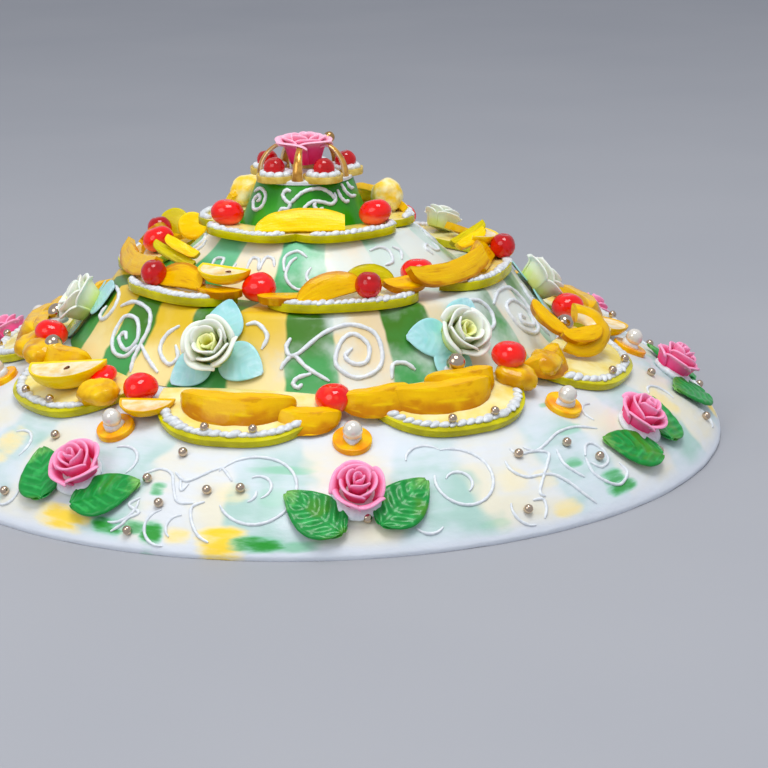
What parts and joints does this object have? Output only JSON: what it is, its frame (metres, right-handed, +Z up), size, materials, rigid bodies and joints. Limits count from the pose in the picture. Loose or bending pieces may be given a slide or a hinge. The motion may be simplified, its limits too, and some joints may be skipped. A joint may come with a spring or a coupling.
{
  "type": "cassata cake",
  "caption": "Large tiered festive cassata: a glazed dome and stacked smaller tiers ringed with candied citron slabs, peel wedges and cherries, with sugar roses and a small gold crown on top.",
  "frame": {"origin": "centre of the flat underside of the domed base", "axes": "+Z up through the tiers, -Y towards the front shown in the picture, +X to the right"},
  "size_m": [0.524, 0.524, 0.1901],
  "materials": {
    "glaze": "white sugar glaze, satin",
    "striped_glaze": "green and yellow marzipan under clear glaze",
    "green_marzipan": "green marzipan, glazed",
    "candied_citron": "candied peel, wet gloss",
    "candied_cherry": "candied cherry, wet gloss",
    "glossy_cherry": "syrup cherry, wet gloss",
    "pink_sugar": "sugar paste, satin",
    "white_wafer": "wafer paper, matte",
    "pale_gold": "gold lustre, satin"
  },
  "bodies": {
    "root": {"dome_base": "glaze", "tier_2": "striped_glaze", "tier_3": "striped_glaze", "tier_4": "green_marzipan", "cherry_low_1": "candied_cherry", "cherry_low_2": "candied_cherry", "cherry_low_3": "candied_cherry", "cherry_low_4": "candied_cherry", "cherry_low_5": "candied_cherry", "cherry_low_6": "candied_cherry", "cherry_low_7": "candied_cherry", "cherry_low_8": "candied_cherry", "cherry_low_9": "candied_cherry", "cherry_low_10": "candied_cherry", "citron_low_1": "candied_citron", "citron_low_2": "candied_citron", "citron_low_3": "candied_citron", "citron_low_4": "candied_citron", "citron_low_5": "candied_citron", "citron_low_6": "candied_citron", "citron_low_7": "candied_citron", "citron_low_8": "candied_citron", "citron_low_9": "candied_citron", "cherry_mid_1": "candied_cherry", "cherry_mid_2": "candied_cherry", "cherry_mid_3": "candied_cherry", "cherry_mid_4": "candied_cherry", "cherry_mid_5": "candied_cherry", "cherry_mid_6": "candied_cherry", "cherry_small_1": "glossy_cherry", "cherry_small_2": "glossy_cherry", "cherry_small_3": "glossy_cherry", "cherry_small_4": "glossy_cherry", "cherry_small_5": "glossy_cherry", "ledge_rose": "white_wafer", "citron_mid_1": "candied_citron", "citron_mid_2": "candied_citron", "citron_mid_3": "candied_citron", "citron_mid_4": "candied_citron", "citron_mid_5": "candied_citron", "citron_mid_6": "candied_citron", "citron_top": "candied_citron", "rose_spray_1": "pink_sugar", "rose_spray_2": "pink_sugar", "rose_spray_3": "pink_sugar", "rose_spray_4": "pink_sugar", "rose_spray_5": "pink_sugar", "rose_spray_6": "pink_sugar", "rose_spray_7": "pink_sugar", "rose_spray_8": "pink_sugar", "rose_spray_9": "pink_sugar", "wafer_flower_1": "white_wafer", "wafer_flower_2": "white_wafer", "wafer_flower_3": "white_wafer", "wafer_flower_4": "white_wafer", "wafer_flower_5": "white_wafer", "wafer_flower_6": "white_wafer", "crown_plate": "pale_gold", "crown_rose": "pink_sugar"}
  },
  "joints": []
}
